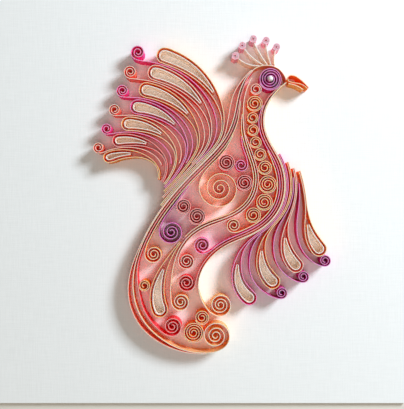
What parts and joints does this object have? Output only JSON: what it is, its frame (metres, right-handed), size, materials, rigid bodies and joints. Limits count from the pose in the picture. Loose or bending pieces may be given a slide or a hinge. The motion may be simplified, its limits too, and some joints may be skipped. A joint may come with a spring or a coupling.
{
  "type": "quilled paper art",
  "caption": "Picture of a bird with a raised wing, made of coloured paper strips rolled, looped and stood on edge on a square white board.",
  "frame": {"origin": "middle of the board's back face", "axes": "+Z out of the board's face, +Y towards the picture's top edge, +X to its right"},
  "size_m": [0.25, 0.25, 0.0157],
  "materials": {
    "board": "white linen-textured board",
    "bead": "pearl",
    "peach": "matte coloured paper",
    "coral": "matte coloured paper",
    "orange": "matte coloured paper",
    "crimson": "matte coloured paper",
    "rose": "matte coloured paper",
    "magenta": "matte coloured paper",
    "violet": "matte coloured paper",
    "cream": "matte coloured paper",
    "pink": "matte coloured paper"
  },
  "bodies": {
    "root": {"back_inner_coral": "coral", "back_inner_crimson": "crimson", "back_outer_rose": "rose", "back_strip_peach": "peach", "backing_board": "board", "beak_lower_coral": "coral", "beak_upper_orange": "orange", "body_coils_crimson": "crimson", "breast_coils_orange": "orange", "breast_inner_coral": "coral", "breast_inner_crimson": "crimson", "breast_inner_magenta": "magenta", "breast_outer_coral": "coral", "breast_strip_peach": "peach", "cheek_coil_rose": "rose", "crest_pegs_pink": "pink", "crest_strips_cream": "cream", "eye_bead": "bead", "eye_coil_violet": "violet", "flank_scroll_violet": "violet", "middle_strip_coral": "coral", "middle_strip_peach": "peach", "middle_strip_rose": "rose", "neck_scroll_magenta": "magenta", "plume_1_magenta": "magenta", "plume_2_orange": "orange", "plume_3_rose": "rose", "plume_4_coral": "coral", "plume_curls_violet": "violet", "plume_hearts_cream": "cream", "shoulder_scroll_coral": "coral", "tail_coils_orange": "orange", "tail_drop_cream": "cream", "tail_drop_orange": "orange", "wing_curls_magenta": "magenta", "wing_curls_rose": "rose", "wing_feather_1_coral": "coral", "wing_feather_2_rose": "rose", "wing_feather_3_orange": "orange", "wing_feather_4_magenta": "magenta", "wing_feather_5_coral": "coral", "wing_feather_6_crimson": "crimson", "wing_feather_7_orange": "orange", "wing_hearts_cream": "cream"}
  },
  "joints": []
}
